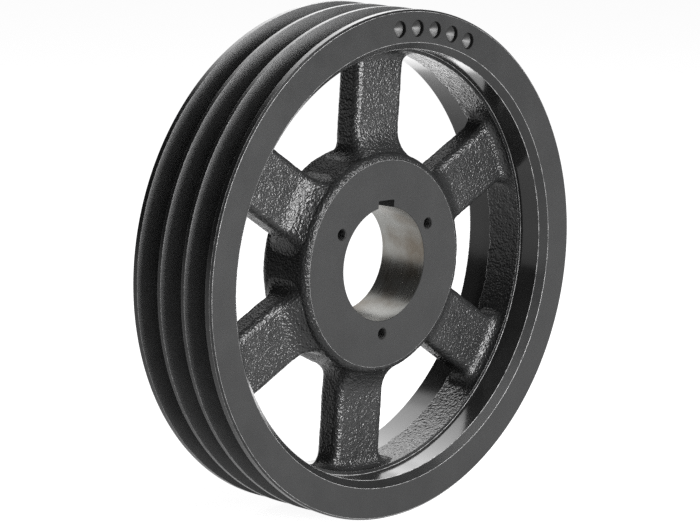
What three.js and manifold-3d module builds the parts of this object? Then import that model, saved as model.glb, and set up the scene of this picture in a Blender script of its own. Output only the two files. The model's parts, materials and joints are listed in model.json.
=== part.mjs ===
// V-belt pulley (sheave) for three parallel classical B belts: one grey-iron casting with six
// arms, a bored and keyed hub with three tapped holes, and a machined, grooved rim.
//
// Millimetres. The wheel turns about the Y axis and its middle plane is y = 0. The front of the
// wheel, where the tapped holes are, faces -Y. +Z is twelve o'clock, where the keyway is.
//
// The casting is divided at its own section borders into a hub, six arms, a rim band and the four
// walls of the grooves. Neighbouring sections stay SEAM apart, so each is a closed solid.

import * as THREE from "three";
import { mergeVertices } from "three/addons/utils/BufferGeometryUtils.js";
import Module from "manifold-3d";

// Rim and grooves
const OUTSIDE_RADIUS = 292.1 / 2;
const FACE_WIDTH = 63.5;
const GROOVE_COUNT = 3;
const GROOVE_PITCH = 19.05;
const GROOVE_TOP_WIDTH = 16.6;
const GROOVE_DEPTH = 14.5;
const GROOVE_HALF_ANGLE = THREE.MathUtils.degToRad(19);
const OUTER_CHAMFER = 1.1;

// Inside of the rim: bored from each end, left as cast in between
const RIM_BORE_RADIUS = 123.6;
const RIM_BORE_CHAMFER = 4;
const CAST_BAND_FRONT = -13.3;
const CAST_BAND_REAR = 10;
const CAST_FRONT_RADIUS = 121.4;
const CAST_REAR_RADIUS = 121.9;
const BORING_RUN_OUT = 1.5;

// Balance holes, drilled into the front face near the top
const BALANCE_HOLE_COUNT = 5;
const BALANCE_HOLE_DIAMETER = 9.5;
const BALANCE_HOLE_DEPTH = 2.6;
const BALANCE_CIRCLE_RADIUS = 135.5;
const BALANCE_SPACING = THREE.MathUtils.degToRad(6.1);
const BALANCE_FIRST = THREE.MathUtils.degToRad(-3.1);

// Hub, with a bore that narrows by 3/4 inch per foot of length for a tapered bushing
const HUB_RADIUS = 63.9;
const HUB_FACE_RADIUS = 59.7;
const HUB_ROUNDING = 5.2;
const HUB_FRONT = -18.7;
const HUB_REAR = 17.3;
const BORE_FRONT_RADIUS = 32.95;
const BORE_TAPER = 0.75 / 12 / 2;
const BORE_FRONT_CHAMFER = 0.4;
const BORE_REAR_CHAMFER = 3.5;
const KEYWAY_WIDTH = 12.7;
const KEYWAY_TOP = 36.8;
const TAPPED_HOLE_COUNT = 3;
const TAPPED_HOLE_DIAMETER = 7.2;
const TAPPED_HOLE_DEPTH = 24;
const BOLT_CIRCLE_RADIUS = 40.5;
const DRILL_POINT_HALF_ANGLE = THREE.MathUtils.degToRad(59);

// Arms. The drilling and the keyway are turned a little from the cast arms.
const ARM_COUNT = 6;
const ARM_WIDTH = 37.7;
const ARM_FRONT = -7.2;
const ARM_REAR = 9.5;
const ARM_EDGE_RADIUS = 4;
const ARM_FILLET_AT_HUB = 7;
const ARM_FILLET_AT_RIM = 9;
const ARM_CLOCKING = THREE.MathUtils.degToRad(2.3);
const FILLET_SHARE = 0.8; // how much of a fillet's arc is drawn before its tangent point

const SEAM = 0.3;
const FACET_ALLOWANCE = 0.1; // how far the middle of a facet lies inside its circle at the rim
const OVERRUN = 5; // how far a cutting shape runs past the surface it cuts
const WELD_TOLERANCE = 1e-4;
const RING_SEGMENTS = 72;
const DRILL_SEGMENTS = 20;
const CORNER_STEPS = 4;

const GROOVE_SLOPE = Math.tan(GROOVE_HALF_ANGLE);
const LAND_WIDTH = GROOVE_PITCH - GROOVE_TOP_WIDTH;
const GROOVE_ROOT_RADIUS = OUTSIDE_RADIUS - GROOVE_DEPTH;
const OUTER_GROOVE_OFFSET = (GROOVE_PITCH * (GROOVE_COUNT - 1)) / 2;

const MACHINED = { color: 0x46484a, roughness: 0.45, metalness: 0.6 };
const AS_CAST = { color: 0x36383a, roughness: 0.75, metalness: 0.4 };

const wasm = await Module();
wasm.setup();

// Turns a closed outline of [radius, y] points about the wheel's axis. The outline runs from the
// front to the rear on its outer side and comes back on its inner side.
function ring(outline) {
  const points = [...outline, outline[0]].map(([radius, y]) => new THREE.Vector2(radius, y));
  return new THREE.LatheGeometry(points, RING_SEGMENTS);
}

function toSolid(geometry) {
  const bare = geometry.clone();
  bare.deleteAttribute("normal");
  bare.deleteAttribute("uv");
  const merged = mergeVertices(bare, WELD_TOLERANCE);
  const mesh = new wasm.Mesh({
    numProp: 3,
    vertProperties: merged.attributes.position.array,
    triVerts: new Uint32Array(merged.index.array),
  });
  return new wasm.Manifold(mesh);
}

function toGeometry(solid) {
  const mesh = solid.getMesh();
  const geometry = new THREE.BufferGeometry();
  geometry.setAttribute("position", new THREE.BufferAttribute(mesh.vertProperties, 3));
  geometry.setIndex(new THREE.BufferAttribute(mesh.triVerts, 1));
  geometry.computeVertexNormals();
  return geometry;
}

// A blind drilled hole with its drill point, entering at y = face and going towards +Y. Its place
// is an angle clockwise from twelve o'clock, seen from the front.
function drilledHole(diameter, depth, circleRadius, clockwise, face) {
  const radius = diameter / 2;
  const tip = depth + radius / Math.tan(DRILL_POINT_HALF_ANGLE);
  const outline = [[0, -OVERRUN], [radius, -OVERRUN], [radius, depth], [0, tip]];
  const points = outline.map(([r, y]) => new THREE.Vector2(r, y));
  const hole = new THREE.LatheGeometry(points, DRILL_SEGMENTS);
  hole.translate(0, face, circleRadius);
  hole.rotateY(clockwise);
  return toSolid(hole);
}

function frontFlangeOutline() {
  const front = -FACE_WIDTH / 2;
  const grooveEdge = -OUTER_GROOVE_OFFSET - GROOVE_TOP_WIDTH / 2;
  const grooveRoot = grooveEdge + GROOVE_DEPTH * GROOVE_SLOPE;
  return [
    [RIM_BORE_RADIUS + RIM_BORE_CHAMFER, front],
    [OUTSIDE_RADIUS - OUTER_CHAMFER, front],
    [OUTSIDE_RADIUS, front + OUTER_CHAMFER],
    [OUTSIDE_RADIUS, grooveEdge],
    [GROOVE_ROOT_RADIUS, grooveRoot],
    [RIM_BORE_RADIUS, grooveRoot],
    [RIM_BORE_RADIUS, front + RIM_BORE_CHAMFER],
  ];
}

function frontFlange() {
  let flange = toSolid(ring(frontFlangeOutline()));
  for (let i = 0; i < BALANCE_HOLE_COUNT; i++) {
    const clockwise = BALANCE_FIRST + i * BALANCE_SPACING;
    flange = flange.subtract(
      drilledHole(
        BALANCE_HOLE_DIAMETER, BALANCE_HOLE_DEPTH, BALANCE_CIRCLE_RADIUS, clockwise, -FACE_WIDTH / 2,
      ),
    );
  }
  return toGeometry(flange);
}

// The rear flange is the front one's mirror image, without the balance holes.
function rearFlange() {
  return ring(frontFlangeOutline().map(([radius, y]) => [radius, -y]).reverse());
}

// A rib between two grooves, centred on y = middle.
function rib(middle) {
  const foot = GROOVE_ROOT_RADIUS + SEAM;
  const halfLand = LAND_WIDTH / 2;
  const halfFoot = halfLand + (OUTSIDE_RADIUS - foot) * GROOVE_SLOPE;
  return ring([
    [foot, middle - halfFoot],
    [OUTSIDE_RADIUS, middle - halfLand],
    [OUTSIDE_RADIUS, middle + halfLand],
    [foot, middle + halfFoot],
  ]);
}

// The band under the grooves. The arms meet its rough middle, which stands in from the bored ends.
function rimBand() {
  const grooveEdge = OUTER_GROOVE_OFFSET + GROOVE_TOP_WIDTH / 2;
  const end = grooveEdge - GROOVE_DEPTH * GROOVE_SLOPE - SEAM;
  return ring([
    [RIM_BORE_RADIUS, -end],
    [GROOVE_ROOT_RADIUS, -end],
    [GROOVE_ROOT_RADIUS, end],
    [RIM_BORE_RADIUS, end],
    [RIM_BORE_RADIUS, CAST_BAND_REAR + BORING_RUN_OUT],
    [CAST_REAR_RADIUS, CAST_BAND_REAR],
    [CAST_FRONT_RADIUS, CAST_BAND_FRONT],
    [RIM_BORE_RADIUS, CAST_BAND_FRONT],
  ]);
}

// The cast roundings between the hub's turned ends and its barrel, from the front to the rear, as
// [radius, y]. Turning the ends has taken off the last of each rounding.
function hubRoundings() {
  const middle = HUB_RADIUS - HUB_ROUNDING;
  const end = Math.acos((HUB_FACE_RADIUS - middle) / HUB_ROUNDING);
  const inset = HUB_ROUNDING * Math.sin(end);
  const front = new THREE.ArcCurve(middle, HUB_FRONT + inset, HUB_ROUNDING, -end, 0);
  const rear = new THREE.ArcCurve(middle, HUB_REAR - inset, HUB_ROUNDING, 0, end);
  const points = [...front.getPoints(CORNER_STEPS), ...rear.getPoints(CORNER_STEPS)];
  return points.map((point) => point.toArray());
}

function hub() {
  const boreRadius = (y) => BORE_FRONT_RADIUS - (y - HUB_FRONT) * BORE_TAPER;
  const boreEnd = HUB_REAR - BORE_REAR_CHAMFER;
  const blank = ring([
    [BORE_FRONT_RADIUS + BORE_FRONT_CHAMFER, HUB_FRONT],
    ...hubRoundings(),
    [boreRadius(boreEnd) + BORE_REAR_CHAMFER, HUB_REAR],
    [boreRadius(boreEnd), boreEnd],
    [boreRadius(HUB_FRONT + BORE_FRONT_CHAMFER), HUB_FRONT + BORE_FRONT_CHAMFER],
  ]);
  const keyway = new THREE.BoxGeometry(KEYWAY_WIDTH, 2 * (HUB_REAR - HUB_FRONT), KEYWAY_TOP);
  keyway.translate(0, (HUB_FRONT + HUB_REAR) / 2, KEYWAY_TOP / 2);
  let solid = toSolid(blank).subtract(toSolid(keyway));
  for (let i = 0; i < TAPPED_HOLE_COUNT; i++) {
    const clockwise = (2 * Math.PI * (i + 0.5)) / TAPPED_HOLE_COUNT;
    solid = solid.subtract(
      drilledHole(TAPPED_HOLE_DIAMETER, TAPPED_HOLE_DEPTH, BOLT_CIRCLE_RADIUS, clockwise, HUB_FRONT),
    );
  }
  return toGeometry(solid);
}

// The arm's section, across (x) and along the axis (y), with rounded corners.
function armSection() {
  const across = ARM_WIDTH / 2 - ARM_EDGE_RADIUS;
  const front = ARM_FRONT + ARM_EDGE_RADIUS;
  const rear = ARM_REAR - ARM_EDGE_RADIUS;
  const section = new THREE.Shape();
  section.absarc(across, rear, ARM_EDGE_RADIUS, 0, Math.PI / 2);
  section.absarc(-across, rear, ARM_EDGE_RADIUS, Math.PI / 2, Math.PI);
  section.absarc(-across, front, ARM_EDGE_RADIUS, Math.PI, 1.5 * Math.PI);
  section.absarc(across, front, ARM_EDGE_RADIUS, 1.5 * Math.PI, 2 * Math.PI);
  return section;
}

// Points along a fillet's arc, in the plane of an arm's plan.
function filletArc(x, y, radius, from, to) {
  const arc = new THREE.ArcCurve(x, y, radius, from, to, from > to);
  return arc.getPoints(2 * CORNER_STEPS);
}

// The arm seen from the front, across (x) and outwards (y), spreading in a fillet at both ends.
// Each fillet stops short of its tangent point, so that its tip keeps some thickness, and the
// outline then runs straight on past the cylinder that trims it.
function armPlan() {
  const side = ARM_WIDTH / 2;
  const hubRadius = HUB_RADIUS + SEAM;
  const rimRadius = CAST_FRONT_RADIUS - SEAM;
  const hubX = side + ARM_FILLET_AT_HUB;
  const hubY = Math.sqrt((hubRadius + ARM_FILLET_AT_HUB) ** 2 - hubX ** 2);
  const rimX = side + ARM_FILLET_AT_RIM;
  const rimY = Math.sqrt((rimRadius - ARM_FILLET_AT_RIM) ** 2 - rimX ** 2);
  const hubEnd = Math.PI + FILLET_SHARE * Math.atan2(hubY, hubX);
  const rimEnd = Math.PI - FILLET_SHARE * Math.atan2(rimY, rimX);
  const right = [
    ...filletArc(hubX, hubY, ARM_FILLET_AT_HUB, hubEnd, Math.PI),
    ...filletArc(rimX, rimY, ARM_FILLET_AT_RIM, Math.PI, rimEnd),
  ];
  right.unshift(right[0].clone().setLength(hubRadius - OVERRUN));
  right.push(right[right.length - 1].clone().setLength(rimRadius + OVERRUN));
  const left = right.map((point) => new THREE.Vector2(-point.x, point.y)).reverse();
  return new THREE.Shape([...right, ...left]);
}

// The arm at twelve o'clock: a rounded bar with a spreading web inside it, trimmed to the space
// between the hub and the rim.
function arm() {
  const hubRadius = HUB_RADIUS + SEAM;
  const rimRadius = CAST_FRONT_RADIUS - SEAM - FACET_ALLOWANCE;
  const bar = new THREE.ExtrudeGeometry(armSection(), {
    depth: rimRadius + OVERRUN, bevelEnabled: false, curveSegments: CORNER_STEPS,
  });
  const webThickness = ARM_REAR - ARM_FRONT - 2 * ARM_EDGE_RADIUS;
  const web = new THREE.ExtrudeGeometry(armPlan(), {
    depth: webThickness, bevelEnabled: false,
  });
  web.rotateX(Math.PI / 2);
  web.translate(0, ARM_REAR - ARM_EDGE_RADIUS, 0);
  const room = ring([
    [hubRadius, ARM_FRONT - OVERRUN],
    [rimRadius, ARM_FRONT - OVERRUN],
    [rimRadius, ARM_REAR + OVERRUN],
    [hubRadius, ARM_REAR + OVERRUN],
  ]);
  return toGeometry(toSolid(bar).add(toSolid(web)).intersect(toSolid(room)));
}

function section(name, geometry, finish) {
  const mesh = new THREE.Mesh(geometry, new THREE.MeshStandardMaterial(finish));
  mesh.name = name;
  return mesh;
}

const pulley = new THREE.Group();
pulley.add(section("hub", hub(), MACHINED));
pulley.add(section("rim_band", rimBand(), AS_CAST));
pulley.add(section("front_flange", frontFlange(), MACHINED));
pulley.add(section("front_rib", rib(-GROOVE_PITCH / 2), MACHINED));
pulley.add(section("rear_rib", rib(GROOVE_PITCH / 2), MACHINED));
pulley.add(section("rear_flange", rearFlange(), MACHINED));

const armGeometry = arm();
for (let i = 0; i < ARM_COUNT; i++) {
  const hour = ((i * 12) / ARM_COUNT || 12).toString().padStart(2, "0");
  const mesh = section(`arm_${hour}`, armGeometry.clone(), AS_CAST);
  mesh.rotation.y = (2 * Math.PI * i) / ARM_COUNT + ARM_CLOCKING;
  pulley.add(mesh);
}

export default pulley;
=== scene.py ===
"""A three-groove V-belt pulley of coated grey iron: as-cast arms between a machined hub and rim.

Every piece replaces the CAD node of the same section. The neighbouring pieces meet without a gap
here, so that the casting looks whole. Lengths are in millimetres until a mesh is made from them.
The wheel turns about Y, its front faces -Y, and +Z is twelve o'clock. Angles are clockwise seen
from the front.
"""

import json
import math

import bpy
import numpy as np
from mathutils import Matrix, Vector, noise

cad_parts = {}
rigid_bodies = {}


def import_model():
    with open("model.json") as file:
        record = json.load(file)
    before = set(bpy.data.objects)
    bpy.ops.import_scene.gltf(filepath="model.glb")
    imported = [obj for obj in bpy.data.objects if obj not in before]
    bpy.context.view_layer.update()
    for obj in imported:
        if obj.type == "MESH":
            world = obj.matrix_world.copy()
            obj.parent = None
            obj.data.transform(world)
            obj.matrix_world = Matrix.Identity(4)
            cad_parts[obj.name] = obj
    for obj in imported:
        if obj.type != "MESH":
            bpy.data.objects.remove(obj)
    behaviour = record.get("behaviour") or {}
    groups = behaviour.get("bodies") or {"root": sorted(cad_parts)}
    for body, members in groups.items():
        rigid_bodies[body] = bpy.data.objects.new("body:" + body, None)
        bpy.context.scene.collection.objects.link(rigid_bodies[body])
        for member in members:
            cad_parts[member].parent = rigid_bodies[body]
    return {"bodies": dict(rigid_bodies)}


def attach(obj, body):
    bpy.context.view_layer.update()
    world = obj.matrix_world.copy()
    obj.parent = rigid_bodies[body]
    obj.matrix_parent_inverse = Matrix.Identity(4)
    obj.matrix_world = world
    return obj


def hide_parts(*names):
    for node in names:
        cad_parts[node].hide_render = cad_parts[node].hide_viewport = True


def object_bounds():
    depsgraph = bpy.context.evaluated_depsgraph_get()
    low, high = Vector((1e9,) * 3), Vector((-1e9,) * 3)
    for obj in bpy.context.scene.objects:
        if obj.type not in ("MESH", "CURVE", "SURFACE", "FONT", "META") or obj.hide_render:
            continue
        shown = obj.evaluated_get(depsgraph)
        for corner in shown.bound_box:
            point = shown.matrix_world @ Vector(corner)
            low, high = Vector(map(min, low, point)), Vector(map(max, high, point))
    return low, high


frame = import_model()
CAD_BOX = [list(corner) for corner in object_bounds()]
BODY = next(iter(frame["bodies"]))

MM = 0.001

# Rim and grooves
OUTSIDE_RADIUS = 146.05
HALF_FACE = 31.75
GROOVE_PITCH = 19.05
GROOVE_TOP_WIDTH = 16.6
GROOVE_DEPTH = 14.5
GROOVE_SLOPE = math.tan(math.radians(19))
GROOVE_ROOT = OUTSIDE_RADIUS - GROOVE_DEPTH
HALF_LAND = (GROOVE_PITCH - GROOVE_TOP_WIDTH) / 2
FLANGE_EDGE = GROOVE_PITCH + GROOVE_TOP_WIDTH / 2
FLANGE_ROOT = 22.357
RIM_BORE = 123.6
RIM_BORE_CHAMFER = 4
OUTER_CHAMFER = 1.1

# The band inside the rim that was left as cast, and its ragged rear edge
BAND_FRONT = -13.3
BAND_REAR = 10
BAND_FRONT_RADIUS = 121.4
BAND_REAR_RADIUS = 121.9
BAND_RUN_OUT = 1.5
BAND_STEADY = 4  # the width at the front of the band that doesn't wander
WANDER_REACH = 2.6  # the width of the bored ring that gives way to the wandering edge
WANDER = ((1.1, 16, 5), (0.7, 45, 9))  # how far, how often, and which slice of the noise

# Balance holes in the front face
BALANCE_HOLES = 5
BALANCE_HOLE_RADIUS = 4.75
BALANCE_HOLE_DEPTH = 2.6
BALANCE_CIRCLE = 135.5
BALANCE_SPACING = math.radians(6.1)
BALANCE_FIRST = math.radians(-3.1)

# Hub
HUB_RADIUS = 63.9
HUB_FACE_RADIUS = 59.7
HUB_ROUNDING = 5.2
HUB_FRONT = -18.7
HUB_REAR = 17.3
BORE_FRONT_RADIUS = 32.95
BORE_TAPER = 1 / 32
BORE_FRONT_CHAMFER = 0.25
BORE_REAR_CHAMFER = 3.5
KEYWAY_WIDTH = 12.7
KEYWAY_TOP = 36.8
KEYWAY_CORNER = 0.4
CORNER_MIDDLE = 0.3  # of a corner's radius: how far its middle lies from both sides
BROACH_LENGTH = 60
TAPPED_HOLES = 3
BOLT_CIRCLE = 40.5
COUNTERSINK = 0.45
THREAD_PITCH = 1.411
THREAD_CREST = 2.85
THREAD_ROOT = 3.35
THREAD_FLANK = 2.3  # how steeply the thread's flanks rise, in thread heights per pitch
THREAD_START = 0.6
THREAD_RUN_OUT = 0.9
THREAD_TURNS = 10
HOLE_DEPTH = 24
HOLE_EDGE = 0.2
DRILL_POINT = math.radians(59)
TIP_RADIUS = 0.02

# Arms
ARMS = 6
ARM_WIDTH = 37.7
ARM_FRONT = -7.2
ARM_REAR = 9.5
ARM_EDGE = 4.5
EDGE_SPREAD = (0.8, 0.45)  # how much of the growth in a fillet goes to the edge's rounding
ARM_CLOCKING = math.radians(2.3)
HUB_FILLET = (7, 0, 4)  # across the arm, at its front, at its rear
HUB_SWELL = 7.6  # the front rises to the hub's rounding in a longer slope
HUB_SWELL_REACH = 14.5
RIM_FILLET = (9, 6, 1.5)
INTO_HUB = 1.2
INTO_RIM = 2.4

# Rounding of the edges
EDGE = 0.3
FACE_EDGE = 0.35
HUB_FACE_EDGE = 0.5
LEDGE = 0.5
BAND_FRONT_EDGE = 0.25

# The cast skin: its height, how fine it is, and a shift that keeps the layers apart
CAST_SKIN = ((0.16, 0.16, (11, 3, 7)), (0.14, 0.5, (0, 0, 0)), (0.15, 1.05, (5, 17, 2)))
BAND_SKIN_RISE = 0.9  # how far from a turned edge the skin has its full height
HUB_SKIN_RISE = 0.8
SKIN_START = 0.1

# How finely the meshes are made
RING_SEGMENTS = 540
BAND_SEGMENTS = 1080
DRILL_COLUMNS = 48
TAP_COLUMNS = 36
ROWS_PER_TURN = 8
CAST_STEP = 0.7
ARM_POINTS = 224
CORNER_POINTS = 26
WIDE_SHARE = 0.72  # of the points on an arm's sides, those on its front and rear
HUB_STATIONS, ARM_STATIONS, RIM_STATIONS = 25, 72, 21
SUPPORT = 0.25
SHARP_ANGLE = math.radians(33)


# ---------------------------------------------------------------- mesh making


def rounded(corners, steps=4):
    """Outline points (radius, y, wear, section) from corners (radius, y, rounding, section).

    A rounded corner becomes an arc with a support point on each side, which keeps the flats flat
    when shaded. On an arc the edge mark is 1: thinned coating and a painted highlight. The section
    belongs to the side after the corner.
    """
    outline = []
    for i, (radius, y, rounding, section) in enumerate(corners):
        here = np.array([radius, y], float)
        if not rounding:
            outline.append((radius, y, 0, section))
            continue
        before = np.array(corners[i - 1][:2], float)
        after = np.array(corners[(i + 1) % len(corners)][:2], float)
        inwards = (before - here) / np.linalg.norm(before - here)
        onwards = (after - here) / np.linalg.norm(after - here)
        half = math.acos(np.clip(inwards @ onwards, -1, 1)) / 2
        start = rounding / math.tan(half)
        towards = inwards + onwards
        centre = here + towards / np.linalg.norm(towards) * rounding / math.sin(half)
        previous = corners[i - 1][3]
        outline.append((*(here + inwards * (start + SUPPORT)), 0, previous))
        first = here + inwards * start - centre
        last = here + onwards * start - centre
        for k in range(steps + 1):
            share = k / steps
            turned = first * math.sin((1 - share) * (math.pi / 2 - half) * 2)
            turned = turned + last * math.sin(share * (math.pi / 2 - half) * 2)
            turned = turned / np.linalg.norm(turned) * rounding
            # Each arc is marked for thinned coating and for a painted highlight along the edge.
            wear_and_highlight = math.sin(math.pi * share)
            outline.append((*(centre + turned), wear_and_highlight, section if k == steps else previous))
        outline.append((*(here + onwards * (start + SUPPORT)), 0, section))
    return outline


def refined(outline, section, step):
    """The same outline, with the sides of one section cut into steps."""
    made = []
    for i, point in enumerate(outline):
        made.append(point)
        following = outline[(i + 1) % len(outline)]
        length = math.dist(point[:2], following[:2])
        if point[3] == section and length > 1.5 * step:
            parts = round(length / step)
            for k in range(1, parts):
                share = k / parts
                radius = point[0] + (following[0] - point[0]) * share
                y = point[1] + (following[1] - point[1]) * share
                made.append((radius, y, 0, section))
    return made


def grid_quads(rows, columns, close_rows):
    """Quads of a grid whose columns close into a loop, and whose rows do too if asked."""
    row, column = np.meshgrid(
        np.arange(rows if close_rows else rows - 1), np.arange(columns), indexing="ij"
    )
    row, column = row.ravel(), column.ravel()
    next_row, next_column = (row + 1) % rows, (column + 1) % columns
    corners = [(row, column), (row, next_column), (next_row, next_column), (next_row, column)]
    return np.stack([r * columns + c for r, c in corners], axis=1)


def capped(quads, rows, columns):
    """The quads of an open tube, and a face to close each of its ends."""
    first = list(range(columns))[::-1]
    last = list(range((rows - 1) * columns, rows * columns))
    return quads.tolist() + [first, last]


def make_object(name, points, faces, sections, materials, wear_and_highlight=None):
    """A mesh object in metres from points in millimetres."""
    mesh = bpy.data.meshes.new(name)
    mesh.from_pydata((points * MM).tolist(), [], [list(face) for face in faces])
    for material in materials:
        mesh.materials.append(material)
    mesh.polygons.foreach_set("material_index", np.asarray(sections, np.int32))
    # The edge mark: thinned coating, and a painted highlight along the rounded edges.
    if wear_and_highlight is not None:
        layer = mesh.attributes.new("wear_and_highlight", "FLOAT", "POINT")
        layer.data.foreach_set("value", np.asarray(wear_and_highlight, np.float32))
    made = bpy.data.objects.new(name, mesh)
    bpy.context.scene.collection.objects.link(made)
    return made


def lathe(name, outline, segments, materials, reshape=None):
    """A ring about the wheel's axis.

    reshape, if given, takes the angles, radii, depths and sections, and gives new radii and depths.
    """
    radius, y, wear_and_highlight, section = (np.array(column, float) for column in zip(*outline))
    angle = np.arange(segments) * 2 * math.pi / segments
    radii = np.broadcast_to(radius, (segments, len(radius)))
    depths = np.broadcast_to(y, (segments, len(radius)))
    if reshape:
        radii, depths = reshape(angle[:, None], radii, depths, section[None, :])
    points = np.stack(
        [radii * np.sin(angle)[:, None], depths, radii * np.cos(angle)[:, None]], axis=-1
    )
    quads = grid_quads(segments, len(radius), True)[:, ::-1]
    return make_object(
        name,
        points.reshape(-1, 3),
        quads,
        np.tile(section, segments),
        materials,
        np.tile(wear_and_highlight, segments),
    )


def tube(name, radii, depths, columns, materials, section):
    """A closed solid about Y for cutting. radii has a row of columns for each depth."""
    angle = np.arange(columns) * 2 * math.pi / columns
    rows = len(depths)
    points = np.stack(
        [
            radii * np.sin(angle),
            np.broadcast_to(np.array(depths)[:, None], radii.shape),
            radii * np.cos(angle),
        ],
        axis=-1,
    ).reshape(-1, 3)
    faces = capped(grid_quads(rows, columns, False), rows, columns)
    return make_object(name, points, faces, [section] * len(faces), materials)


def place_in_face(cutter, circle, clockwise, face):
    """Moves a cutter made about Y to its circle on the face at y = face."""
    cutter.data.transform(Matrix.Translation((0, face * MM, circle * MM)))
    cutter.data.transform(Matrix.Rotation(clockwise, 4, "Y"))


def wear_and_highlight_at(mesh):
    """The edge mark of each point of a mesh (thinned coating and painted highlight), by its place
    to the nearest tenth of a micrometre.
    """
    values = mesh.attributes["wear_and_highlight"].data
    return {place(vertex): values[vertex.index].value for vertex in mesh.vertices}


def place(vertex):
    return tuple(round(along, 7) for along in vertex.co)


def cut(solid, cutters):
    """Takes the cutters away from the solid for good. The new edges get no edge mark: neither
    thinned coating nor painted highlight.
    """
    wear_and_highlight = wear_and_highlight_at(solid.data)
    for cutter in cutters:
        step = solid.modifiers.new(cutter.name, "BOOLEAN")
        step.object = cutter
        step.operation = "DIFFERENCE"
        step.solver = "EXACT"
    graph = bpy.context.evaluated_depsgraph_get()
    result = bpy.data.meshes.new_from_object(solid.evaluated_get(graph))
    for vertex in result.vertices:
        result.attributes["wear_and_highlight"].data[vertex.index].value = wear_and_highlight.get(place(vertex), 0)
    solid.modifiers.clear()
    solid.data = result
    for cutter in cutters:
        bpy.data.objects.remove(cutter)


def shade(piece):
    piece.data.polygons.foreach_set("use_smooth", [True] * len(piece.data.polygons))
    piece.data.set_sharp_from_angle(angle=SHARP_ANGLE)


def finish_piece(piece, node):
    shade(piece)
    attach(piece, BODY)
    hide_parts(node)


# ---------------------------------------------------------------- cast surface


def cast_height(x, y, z):
    """How far the sand-cast skin stands out at a point, in millimetres."""
    spot = Vector((x, y, z))
    layers = [
        height * noise.noise(spot * fineness + Vector(shift))
        for height, fineness, shift in CAST_SKIN
    ]
    return sum(layers)


def cast_heights(points):
    """The skin's height at each point of an array whose last axis is (x, y, z)."""
    heights = [cast_height(*point) for point in points.reshape(-1, 3).tolist()]
    return np.array(heights).reshape(points.shape[:-1])


def ring_points(angle, radii, depths):
    """Places (x, y, z) from angles clockwise from twelve o'clock, radii and depths."""
    return np.stack([radii * np.sin(angle), depths, radii * np.cos(angle)], axis=-1)


def ease(value):
    """A smooth step from 0 to 1."""
    value = np.clip(value, 0, 1)
    return value * value * (3 - 2 * value)


# ---------------------------------------------------------------- materials


def add_node(tree, kind, **settings):
    made = tree.nodes.new(kind)
    for name, value in settings.items():
        if hasattr(made, name):
            setattr(made, name, value)
        else:
            made.inputs[name.replace("_", " ")].default_value = value
    return made


def new_material(name, values):
    material = bpy.data.materials.new(name)
    material.use_nodes = True
    shader = material.node_tree.nodes["Principled BSDF"]
    for socket, value in values.items():
        shader.inputs[socket].default_value = value
    return material, material.node_tree, shader


def noise_at(tree, scale, detail=3, roughness=0.55):
    where = add_node(tree, "ShaderNodeTexCoord")
    texture = add_node(tree, "ShaderNodeTexNoise", Scale=scale, Detail=detail, Roughness=roughness)
    tree.links.new(where.outputs["Object"], texture.inputs["Vector"])
    return texture.outputs["Fac"]


def grains_at(tree, scale):
    """Rounded grains packed side by side, as the sand of the mould leaves them."""
    where = add_node(tree, "ShaderNodeTexCoord")
    texture = add_node(tree, "ShaderNodeTexVoronoi", feature="SMOOTH_F1", Scale=scale)
    texture.inputs["Smoothness"].default_value = 0.25
    tree.links.new(where.outputs["Object"], texture.inputs["Vector"])
    return texture.outputs["Distance"]


def mapped(tree, value, low, high, to_low, to_high):
    ranged = add_node(tree, "ShaderNodeMapRange")
    for socket, number in zip(
        ("From Min", "From Max", "To Min", "To Max"), (low, high, to_low, to_high)
    ):
        ranged.inputs[socket].default_value = number
    tree.links.new(value, ranged.inputs["Value"])
    return ranged.outputs["Result"]


def mixed(tree, share, low, high):
    """A colour between two, each a colour or a socket."""
    mix = add_node(tree, "ShaderNodeMix", data_type="RGBA")
    for socket, colour in zip((mix.inputs[6], mix.inputs[7]), (low, high)):
        if isinstance(colour, bpy.types.NodeSocket):
            tree.links.new(colour, socket)
        else:
            socket.default_value = (*colour, 1)
    tree.links.new(share, mix.inputs[0])
    return mix.outputs[2]


def bump(tree, height, distance, under=None):
    made = add_node(tree, "ShaderNodeBump", Distance=distance, Strength=1)
    tree.links.new(height, made.inputs["Height"])
    if under:
        tree.links.new(under, made.inputs["Normal"])
    return made.outputs["Normal"]


def turning_marks(tree, pitch):
    """Uneven fine lines round the axis, as a turning tool leaves them on a face or a cylinder."""
    where = add_node(tree, "ShaderNodeTexCoord")
    flat = add_node(tree, "ShaderNodeVectorMath", operation="MULTIPLY")
    flat.inputs[1].default_value = (1, 0, 1)
    radius = add_node(tree, "ShaderNodeVectorMath", operation="LENGTH")
    split = add_node(tree, "ShaderNodeSeparateXYZ")
    total = add_node(tree, "ShaderNodeMath", operation="ADD")
    lines = add_node(tree, "ShaderNodeTexNoise", noise_dimensions="1D", Detail=2)
    lines.inputs["Scale"].default_value = 1 / pitch
    tree.links.new(where.outputs["Object"], flat.inputs[0])
    tree.links.new(flat.outputs["Vector"], radius.inputs[0])
    tree.links.new(where.outputs["Object"], split.inputs["Vector"])
    tree.links.new(radius.outputs["Value"], total.inputs[0])
    tree.links.new(split.outputs["Y"], total.inputs[1])
    tree.links.new(total.outputs["Value"], lines.inputs["W"])
    return lines.outputs["Fac"]


def spread(tree, value, low, high):
    """The middle range of a noise, spread from low to high."""
    return mapped(tree, value, 0.3, 0.7, low, high)


def wear_and_highlight_share(tree):
    """Where the edges show thinned coating and a painted highlight: the edge-mark attribute, broken
    up by noise.
    """
    layer = add_node(tree, "ShaderNodeAttribute", attribute_name="wear_and_highlight")
    patchy = mapped(tree, noise_at(tree, 260, 4), 0.35, 0.6, 0.2, 0.8)
    both = add_node(tree, "ShaderNodeMath", operation="MULTIPLY")
    tree.links.new(layer.outputs["Fac"], both.inputs[0])
    tree.links.new(patchy, both.inputs[1])
    return both.outputs["Value"]


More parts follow.
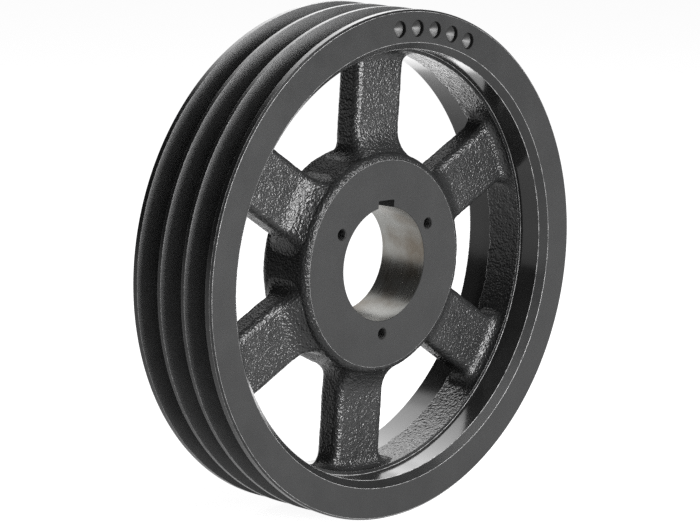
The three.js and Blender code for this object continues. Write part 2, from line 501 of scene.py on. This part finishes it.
def coated_turned(name, ior, pitch, cloud_scale, dark, pale, rubbed_and_highlight, roughness, depth):
    """Dark coating over fine turning marks, thinned and lighter along the edges, where the lighter
    colour also paints a highlight.
    """
    material, tree, shader = new_material(name, {"Metallic": 0, "IOR": ior})
    cloud = noise_at(tree, cloud_scale, 4)
    base = mixed(tree, spread(tree, cloud, 0, 1), dark, pale)
    # A lighter colour along the rounded edges: partly thinned coating, partly a painted highlight.
    worn_and_highlit = mixed(tree, wear_and_highlight_share(tree), base, (rubbed_and_highlight, rubbed_and_highlight, rubbed_and_highlight))
    marks = turning_marks(tree, pitch)
    tree.links.new(worn_and_highlit, shader.inputs["Base Color"])
    tree.links.new(spread(tree, cloud, *roughness), shader.inputs["Roughness"])
    tree.links.new(bump(tree, marks, depth), shader.inputs["Normal"])
    return material


def coated_cast(name, ior):
    """The same coating over the sand-cast skin."""
    material, tree, shader = new_material(name, {"Metallic": 0, "IOR": ior})
    cloud = noise_at(tree, 60, 4)
    dark, pale = (0.006, 0.0061, 0.0062), (0.009, 0.0091, 0.0092)
    base = mixed(tree, spread(tree, cloud, 0, 1), dark, pale)
    sand = bump(tree, grains_at(tree, 700), 0.00032)
    lumps = bump(tree, noise_at(tree, 800, 2), 0.0004, sand)
    fine = bump(tree, noise_at(tree, 2600, 2), 0.00005, lumps)
    tree.links.new(base, shader.inputs["Base Color"])
    tree.links.new(spread(tree, cloud, 0.14, 0.22), shader.inputs["Roughness"])
    tree.links.new(fine, shader.inputs["Normal"])
    return material


def bare_bore():
    """The bored seat, left as bare iron with tool marks and a faint stain."""
    material, tree, shader = new_material("bare_bored_iron", {"Metallic": 1})
    marks = turning_marks(tree, 0.0007)
    metal = mixed(tree, spread(tree, marks, 0, 1), (0.23, 0.23, 0.218), (0.28, 0.28, 0.268))
    where_stained = mapped(tree, noise_at(tree, 38, 4), 0.45, 0.68, 0, 1)
    stained = mixed(tree, where_stained, metal, (0.15, 0.132, 0.11))
    tree.links.new(stained, shader.inputs["Base Color"])
    tree.links.new(spread(tree, marks, 0.27, 0.35), shader.inputs["Roughness"])
    tree.links.new(bump(tree, marks, 0.000001), shader.inputs["Normal"])
    return material


def dark_cut():
    """Drilled, tapped and broached surfaces under the same coating."""
    material, tree, shader = new_material("coated_cut_iron", {"Metallic": 0, "IOR": 1.24})
    cloud = noise_at(tree, 700, 3)
    dark, pale = (0.006, 0.006, 0.006), (0.012, 0.012, 0.012)
    base = mixed(tree, spread(tree, cloud, 0, 1), dark, pale)
    tree.links.new(base, shader.inputs["Base Color"])
    tree.links.new(spread(tree, cloud, 0.3, 0.4), shader.inputs["Roughness"])
    tree.links.new(bump(tree, cloud, 0.00002), shader.inputs["Normal"])
    return material


TURNED, CAST, BARE, CUT, GROOVE, BORED, BARREL, SHOULDER = range(8)
FINISHES = [
    coated_turned(
        "coated_machined_iron",
        ior=1.33,
        pitch=0.0005,
        cloud_scale=45,
        dark=(0.0052, 0.0053, 0.0054),
        pale=(0.0066, 0.0067, 0.0068),
        rubbed_and_highlight=0.22,
        roughness=(0.27, 0.33),
        depth=0.000004,
    ),
    coated_cast("coated_cast_iron", 1.3),
    bare_bore(),
    dark_cut(),
    # The walls of the grooves are a little rougher and duller than the faces. Their lighter colour
    # is painted light, which lifts the shade between the ribs.
    coated_turned(
        "coated_groove_iron_painted_fill_light",
        ior=1.25,
        pitch=0.0004,
        cloud_scale=60,
        # Lighter than the faces' coating: painted fill light for the shaded grooves.
        dark=(0.026, 0.0263, 0.0266),
        pale=(0.034, 0.0343, 0.0346),
        rubbed_and_highlight=0.22,
        roughness=(0.34, 0.42),
        depth=0.000006,
    ),
    # The bored inside of the rim is smoother than the faces.
    coated_turned(
        "coated_bored_iron",
        ior=1.36,
        pitch=0.0006,
        cloud_scale=45,
        dark=(0.010, 0.010, 0.010),
        pale=(0.014, 0.014, 0.014),
        # The bore's rounded edges get a brighter colour: thinned coating and a painted highlight.
        rubbed_and_highlight=0.45,
        roughness=(0.11, 0.18),
        depth=0.000002,
    ),
    # The hub's cast sides have less gloss than the arms.
    coated_cast("coated_barrel_iron", 1.13),
    coated_cast("coated_shoulder_iron", 1.21),
]


# ---------------------------------------------------------------- rim


def flange(name, side):
    """The wall at one end of the rim, from the bored inside to the outer groove's wall."""
    corners = [
        (RIM_BORE + RIM_BORE_CHAMFER, HALF_FACE, FACE_EDGE, TURNED),
        (OUTSIDE_RADIUS - OUTER_CHAMFER, HALF_FACE, EDGE, TURNED),
        (OUTSIDE_RADIUS, HALF_FACE - OUTER_CHAMFER, EDGE, TURNED),
        (OUTSIDE_RADIUS, FLANGE_EDGE, EDGE, GROOVE),
        (GROOVE_ROOT, FLANGE_ROOT, 0, TURNED),
        (RIM_BORE, FLANGE_ROOT, 0, BORED),
        (RIM_BORE, HALF_FACE - RIM_BORE_CHAMFER, LEDGE, TURNED),
    ]
    corners = [(radius, side * y, rounding, section) for radius, y, rounding, section in corners]
    if side > 0:
        # The corners run the other way round, and each side keeps its section.
        sections = [corners[i - 1][3] for i in range(len(corners))]
        corners = [(*corner[:3], section) for corner, section in zip(corners, sections)][::-1]
    return lathe(name, rounded(corners), RING_SEGMENTS, FINISHES)


def rib(name, middle):
    """A rib between two grooves, centred on y = middle."""
    foot = HALF_LAND + GROOVE_DEPTH * GROOVE_SLOPE
    corners = [
        (GROOVE_ROOT, middle - foot, 0, GROOVE),
        (OUTSIDE_RADIUS, middle - HALF_LAND, EDGE, TURNED),
        (OUTSIDE_RADIUS, middle + HALF_LAND, EDGE, GROOVE),
        (GROOVE_ROOT, middle + foot, 0, GROOVE),
    ]
    return lathe(name, rounded(corners), RING_SEGMENTS, FINISHES)


def band_radius(y):
    """The radius of the cast band, which is cast with a little draft."""
    share = (y - BAND_FRONT) / (BAND_REAR - BAND_FRONT)
    return BAND_FRONT_RADIUS + (BAND_REAR_RADIUS - BAND_FRONT_RADIUS) * np.clip(share, 0, 1)


def edge_wander(angle):
    """How far the rear edge of the cast band stands from its mean place at an angle."""
    return sum(
        far * noise.noise(Vector((math.sin(angle) * often, slice_at, math.cos(angle) * often)))
        for far, often, slice_at in WANDER
    )


def rough_band(angle, radii, depths, section):
    """Roughens the cast band and lets its rear edge wander."""
    wander = np.array([edge_wander(a) for a in angle.ravel().tolist()])[:, None]
    start = BAND_FRONT + BAND_STEADY
    near_rear = ease((depths - start) / (BAND_REAR - start))
    wanders = depths < BAND_REAR + BAND_RUN_OUT + WANDER_REACH / 2
    depths = np.where(wanders, depths + wander * near_rear, depths)
    heights = cast_heights(ring_points(angle, radii, depths))
    away = ease((depths - BAND_FRONT) / BAND_SKIN_RISE)
    return np.where(section == CAST, radii - heights * away, radii), depths


def rim_band(name):
    """The ring under the grooves, bored at both ends and left as cast in its middle."""
    corners = [
        (RIM_BORE, -FLANGE_ROOT, 0, TURNED),
        (GROOVE_ROOT, -FLANGE_ROOT, 0, GROOVE),
        (GROOVE_ROOT, FLANGE_ROOT, 0, TURNED),
        (RIM_BORE, FLANGE_ROOT, 0, BORED),
        (RIM_BORE, BAND_REAR + BAND_RUN_OUT + WANDER_REACH, 0, BORED),
        (RIM_BORE, BAND_REAR + BAND_RUN_OUT, 0, BORED),
        (BAND_REAR_RADIUS, BAND_REAR, LEDGE, CAST),
        (BAND_FRONT_RADIUS, BAND_FRONT, BAND_FRONT_EDGE, TURNED),
        (RIM_BORE, BAND_FRONT, EDGE, BORED),
    ]
    outline = refined(rounded(corners), CAST, CAST_STEP)
    return lathe(name, outline, BAND_SEGMENTS, FINISHES, rough_band)


def balance_hole(index):
    """A shallow drilled hole with its drill point and a broken edge."""
    radius = BALANCE_HOLE_RADIUS
    outline = [
        (radius + 2 * HOLE_EDGE, -HOLE_EDGE),
        (radius + HOLE_EDGE, 0),
        (radius, HOLE_EDGE),
        (radius, BALANCE_HOLE_DEPTH),
        (TIP_RADIUS, BALANCE_HOLE_DEPTH + radius / math.tan(DRILL_POINT)),
    ]
    radii = np.array([[size] * DRILL_COLUMNS for size, _ in outline])
    depths = [y for _, y in outline]
    cutter = tube(f"drill_{index}", radii, depths, DRILL_COLUMNS, FINISHES, CUT)
    place_in_face(cutter, BALANCE_CIRCLE, BALANCE_FIRST + index * BALANCE_SPACING, -HALF_FACE)
    return cutter


# ---------------------------------------------------------------- hub


def hub_roundings():
    """The cast roundings between the hub's turned ends and its barrel, from the front to the rear.

    Gives the (radius, y) points, and the middle of each rounding. Turning the ends has taken off
    the last of each rounding.
    """
    middle = HUB_RADIUS - HUB_ROUNDING
    end = math.acos((HUB_FACE_RADIUS - middle) / HUB_ROUNDING)
    inset = HUB_ROUNDING * math.sin(end)
    steps = round(end * HUB_ROUNDING / CAST_STEP)
    turns = [end * k / steps for k in range(steps + 1)]
    front = [(turn, HUB_FRONT + inset, -1) for turn in turns[::-1]]
    rear = [(turn, HUB_REAR - inset, 1) for turn in turns]
    points = [
        (middle + HUB_ROUNDING * math.cos(turn), y + side * HUB_ROUNDING * math.sin(turn))
        for turn, y, side in front + rear
    ]
    return points, (HUB_FRONT + inset, HUB_REAR - inset)


def rough_barrel(angle, radii, depths, section):
    """Roughens the barrel and its roundings outwards, but leaves their turned edges true."""
    away = ease((radii - HUB_FACE_RADIUS - SKIN_START) / HUB_SKIN_RISE)
    heights = cast_heights(ring_points(angle, radii, depths)) * away
    outwards = (radii - HUB_RADIUS + HUB_ROUNDING) / HUB_ROUNDING
    along = (depths - np.clip(depths, *hub_roundings()[1])) / HUB_ROUNDING
    return radii + heights * outwards, depths + heights * along


def hub(name):
    """The hub before it is keyed and drilled: tapered bore, turned ends and cast barrel."""
    bore_end = BORE_FRONT_RADIUS - (HUB_REAR - BORE_REAR_CHAMFER - HUB_FRONT) * BORE_TAPER
    roundings = hub_roundings()[0]
    barrel_start = len(roundings) // 2 - 1
    corners = [
        (BORE_FRONT_RADIUS, HUB_FRONT + BORE_FRONT_CHAMFER, 0, TURNED),
        (BORE_FRONT_RADIUS + BORE_FRONT_CHAMFER, HUB_FRONT, 0, TURNED),
        (*roundings[0], HUB_FACE_EDGE, SHOULDER),
        *[(*point, 0, SHOULDER) for point in roundings[1:barrel_start]],
        (*roundings[barrel_start], 0, BARREL),
        *[(*point, 0, SHOULDER) for point in roundings[barrel_start + 1 : -1]],
        (*roundings[-1], HUB_FACE_EDGE, TURNED),
        (bore_end + BORE_REAR_CHAMFER, HUB_REAR, EDGE, BARE),
        (bore_end, HUB_REAR - BORE_REAR_CHAMFER, EDGE, BARE),
    ]
    outline = refined(rounded(corners), BARREL, CAST_STEP)
    return lathe(name, outline, RING_SEGMENTS, FINISHES, rough_barrel)


def keyway_cutter():
    """A bar through the bore, with small radii in the corners of the keyway."""
    side, top = -KEYWAY_WIDTH / 2, KEYWAY_TOP
    middle = KEYWAY_CORNER * CORNER_MIDDLE
    outline = [
        (side, 0),
        (side, top - KEYWAY_CORNER),
        (side + middle, top - middle),
        (side + KEYWAY_CORNER, top),
    ]
    outline += [(-x, z) for x, z in outline[::-1]]
    points = [(x, y, z) for y in (-BROACH_LENGTH / 2, BROACH_LENGTH / 2) for x, z in outline]
    count = len(outline)
    faces = [list(range(count))[::-1], list(range(count, 2 * count))]
    for i in range(count):
        following = (i + 1) % count
        faces.append([i, following, following + count, i + count])
    return make_object("broach", np.array(points), faces, [CUT] * len(faces), FINISHES)


def tapped_hole(index):
    """A blind hole with a countersunk mouth, threaded for most of its depth."""
    angle = np.arange(TAP_COLUMNS) / TAP_COLUMNS
    rows = [
        (THREAD_ROOT + 2 * HOLE_EDGE, -HOLE_EDGE),
        (THREAD_ROOT + HOLE_EDGE, 0),
        (THREAD_ROOT - HOLE_EDGE, COUNTERSINK),
    ]
    for row in range(THREAD_TURNS * ROWS_PER_TURN):
        y = THREAD_START + row * THREAD_PITCH / ROWS_PER_TURN
        phase = (y / THREAD_PITCH - angle) % 1
        height = np.clip(THREAD_FLANK * (0.5 - np.abs(phase - 0.5)), 0, 1)
        rows.append((THREAD_CREST + (THREAD_ROOT - THREAD_CREST) * height, y))
    rows += [
        (THREAD_CREST, THREAD_TURNS * THREAD_PITCH + THREAD_RUN_OUT),
        (THREAD_CREST, HOLE_DEPTH),
        (TIP_RADIUS, HOLE_DEPTH + THREAD_CREST / math.tan(DRILL_POINT)),
    ]
    radii = np.array([np.broadcast_to(radius, TAP_COLUMNS) for radius, _ in rows])
    depths = [y for _, y in rows]
    cutter = tube(f"tap_{index}", radii, depths, TAP_COLUMNS, FINISHES, CUT)
    place_in_face(cutter, BOLT_CIRCLE, (index + 0.5) * 2 * math.pi / TAPPED_HOLES, HUB_FRONT)
    return cutter


# ---------------------------------------------------------------- arms


def fillet_growth(distance, radius):
    """How far a fillet of this radius stands out at a distance from the surface it runs into."""
    if not radius:
        return 0.0
    inside = np.clip(1 - distance / radius, 0, 1)
    return radius * (1 - np.sqrt(1 - inside**2))


def arm_stations():
    """Distances from the axis at which the arm's section is drawn, close together in fillets.

    Also gives the mean radius of the band that the arm runs into.
    """
    rim = (BAND_FRONT_RADIUS + BAND_REAR_RADIUS) / 2
    hub_turns = np.linspace(math.pi / 2, 0, HUB_STATIONS)
    rim_turns = np.linspace(0, math.pi / 2, RIM_STATIONS)
    near_hub = HUB_RADIUS + HUB_FILLET[0] * (1 - np.sin(hub_turns))
    near_rim = rim - RIM_FILLET[0] * (1 - np.sin(rim_turns))
    between = np.linspace(near_hub[-1], near_rim[0], ARM_STATIONS)[1:-1]
    inside_hub, inside_rim = [HUB_RADIUS - INTO_HUB], [rim + INTO_RIM]
    return np.concatenate([inside_hub, near_hub, between, near_rim, inside_rim]), rim


def arm_section(half_width, front, rear, across, along):
    """A rounded rectangle in (t, y) with elliptic corners. Every section has ARM_POINTS points."""
    side_points = (ARM_POINTS - 4 * CORNER_POINTS) // 2
    wide = round(side_points * WIDE_SHARE)
    deep = side_points - wide
    turn = np.linspace(0, math.pi / 2, CORNER_POINTS)
    right, left = half_width - across, across - half_width
    low, high = front + along, rear - along
    corners = [(right, high, 0), (left, high, 1), (left, low, 2), (right, low, 3)]
    points = []
    for i, (t, y, quarter) in enumerate(corners):
        angle = turn + quarter * math.pi / 2
        arc = np.stack([t + across * np.cos(angle), y + along * np.sin(angle)], axis=1)
        points.append(arc)
        following = corners[(i + 1) % 4]
        start_angle = (quarter + 1) * math.pi / 2
        end = (
            following[0] + across * math.cos(start_angle),
            following[1] + along * math.sin(start_angle),
        )
        share = np.linspace(0, 1, (wide if i % 2 == 0 else deep) + 2)[1:-1, None]
        points.append(arc[-1] * (1 - share) + np.array(end) * share)
    return np.concatenate(points)


def arm(name, clockwise):
    """A bar with rounded edges that swells into the hub and the rim, with the cast skin on it."""
    stations, rim = arm_stations()
    rows = []
    for rho in stations:
        from_hub, from_rim = max(rho - HUB_RADIUS, 0), max(rim - rho, 0)
        growth = [
            fillet_growth(from_hub, at_hub) + fillet_growth(from_rim, at_rim)
            for at_hub, at_rim in zip(HUB_FILLET, RIM_FILLET)
        ]
        growth[1] += HUB_SWELL * max(1 - (rho - HUB_RADIUS) / HUB_SWELL_REACH, 0) ** 2
        outline = arm_section(
            ARM_WIDTH / 2 + growth[0],
            ARM_FRONT - growth[1],
            ARM_REAR + growth[2],
            ARM_EDGE + EDGE_SPREAD[0] * growth[0],
            ARM_EDGE + EDGE_SPREAD[1] * growth[1],
        )
        t, y = outline[:, 0], outline[:, 1]
        near = ease(1 - from_rim / RIM_FILLET[0])
        reach = rho + near * (band_radius(y) - rim)
        rows.append(np.stack([t, y, np.sqrt(reach**2 - t**2)], axis=1))
    points = np.concatenate(rows)
    turn = np.array(Matrix.Rotation(clockwise, 3, "Y"))
    points = points @ turn.T
    grid = (len(stations), ARM_POINTS)
    faces = capped(grid_quads(*grid, False), *grid)
    made = make_object(name, points, faces, [0] * len(faces), [FINISHES[CAST]])
    normals = np.zeros(len(points) * 3, np.float32)
    made.data.vertex_normals.foreach_get("vector", normals)
    lifted = points + normals.reshape(-1, 3) * cast_heights(points)[:, None]
    made.data.vertices.foreach_set("co", (lifted * MM).astype(np.float32).ravel())
    made.data.update()
    return made


# ---------------------------------------------------------------- the pieces

front = flange("front_flange_turned", -1)
cut(front, [balance_hole(i) for i in range(BALANCE_HOLES)])
turned_rim = {
    "front_flange": front,
    "front_rib": rib("front_rib_turned", -GROOVE_PITCH / 2),
    "rear_rib": rib("rear_rib_turned", GROOVE_PITCH / 2),
    "rear_flange": flange("rear_flange_turned", 1),
}
for node, piece in turned_rim.items():
    finish_piece(piece, node)
band = rim_band("rim_band_casting")
finish_piece(band, "rim_band")

middle = hub("hub_casting")
cut(middle, [keyway_cutter()] + [tapped_hole(i) for i in range(TAPPED_HOLES)])
finish_piece(middle, "hub")

for i in range(ARMS):
    hour = f"{(i * 12) // ARMS or 12:02d}"
    spoke = arm(f"arm_{hour}_casting", i * 2 * math.pi / ARMS + ARM_CLOCKING)
    finish_piece(spoke, f"arm_{hour}")


# ---------------------------------------------------------------- studio


def panel(name, towards, distance, size, radiance, onto=None):
    """A soft light of even radiance, facing the wheel from a direction.

    It lights every piece, or only the pieces of the collection onto.
    """
    data = bpy.data.lights.new(name, "AREA")
    data.shape = "RECTANGLE"
    data.size, data.size_y = size
    data.energy = radiance * math.pi * size[0] * size[1]
    light = bpy.data.objects.new(name, data)
    bpy.context.scene.collection.objects.link(light)
    back = Vector(towards).normalized()
    light.location = back * distance
    light.rotation_mode = "QUATERNION"
    light.rotation_quaternion = back.to_track_quat("Z", "Y")
    light.visible_camera = False
    light.light_linking.receiver_collection = onto


rim_pieces = bpy.data.collections.new("rim_pieces")
for piece in [*turned_rim.values(), band]:
    rim_pieces.objects.link(piece)

panel("front_panel", (0.03, -1, 0.05), 1.8, (1.0, 1.0), 50.0)
panel("high_panel", (0.1, -0.9, 0.4), 1.8, (0.6, 0.6), 12.0)
panel("right_panel", (0.35, -0.78, 0.5), 1.8, (0.6, 0.6), 26.0)
panel("upper_panel", (0, -0.7, 0.7), 1.8, (1.3, 1.3), 3.0)
panel("rear_panel", (0.3, 0.66, 0.66), 1.8, (1.3, 0.8), 1.8)
panel("rim_panel", (0.45, 0.68, 0.56), 1.8, (1.4, 1.1), 2.4, rim_pieces)
panel("rim_glow", (0.45, 0.68, 0.56), 1.85, (2.0, 1.7), 2.0, rim_pieces)
panel("low_panel", (0.65, 0.76, -0.24), 0.38, (0.35, 0.1), 2.5, rim_pieces)

# The surroundings light the wheel faintly, and look nearly white to the camera.
SURROUND_LIGHT, SURROUND_SEEN = 0.06, 0.97
world = bpy.data.worlds.new("studio")
bpy.context.scene.world = world
world.use_nodes = True
surroundings = world.node_tree
seen = add_node(surroundings, "ShaderNodeLightPath")
strength = mapped(surroundings, seen.outputs["Is Camera Ray"], 0, 1, SURROUND_LIGHT, SURROUND_SEEN)
background = surroundings.nodes["Background"]
background.inputs["Color"].default_value = (1, 1, 1, 1)
surroundings.links.new(strength, background.inputs["Strength"])

FLOOR_REACH = 12.0
floor_mesh = bpy.data.meshes.new("floor")
floor_mesh.from_pydata(
    [
        (x * FLOOR_REACH, y * FLOOR_REACH, CAD_BOX[0][2])
        for x, y in ((-1, -1), (1, -1), (1, 1), (-1, 1))
    ],
    [],
    [(0, 1, 2, 3)],
)
floor = bpy.data.objects.new("floor", floor_mesh)
bpy.context.scene.collection.objects.link(floor)
paper, *_ = new_material(
    "pale_floor",
    {
        "Base Color": (0.3, 0.3, 0.3, 1),
        "Roughness": 0.9,
        "Specular IOR Level": 0.0,
        "Emission Color": (1, 1, 1, 1),
        "Emission Strength": 0.93,
    },
)
floor_mesh.materials.append(paper)

# The camera stands level with a point a little off the wheel's centre, and is tipped slightly.
AZIMUTH, ELEVATION, ROLL = (math.radians(angle) for angle in (-45.606, 10.141, 1.780))
LOOK_AT = Vector((-4.63, 4.37, -1.42)) * MM
DISTANCE = 1.55462
back = Vector(
    (
        math.sin(AZIMUTH) * math.cos(ELEVATION),
        -math.cos(AZIMUTH) * math.cos(ELEVATION),
        math.sin(ELEVATION),
    )
)
level = Vector((math.cos(AZIMUTH), math.sin(AZIMUTH), 0))
right = math.cos(ROLL) * level + math.sin(ROLL) * back.cross(level)
up = back.cross(right)
camera_data = bpy.data.cameras.new("camera")
camera_data.sensor_width = 36
camera_data.lens = 139.12
camera = bpy.data.objects.new("camera", camera_data)
bpy.context.scene.collection.objects.link(camera)
turned = Matrix((right, up, back)).transposed().to_4x4()
camera.matrix_world = Matrix.Translation(LOOK_AT + back * DISTANCE) @ turned
bpy.context.scene.camera = camera
bpy.context.scene.view_settings.view_transform = "Standard"
# The grains of the cast skin are as small as the noise that a denoiser takes away.
bpy.context.scene.cycles.use_denoising = False
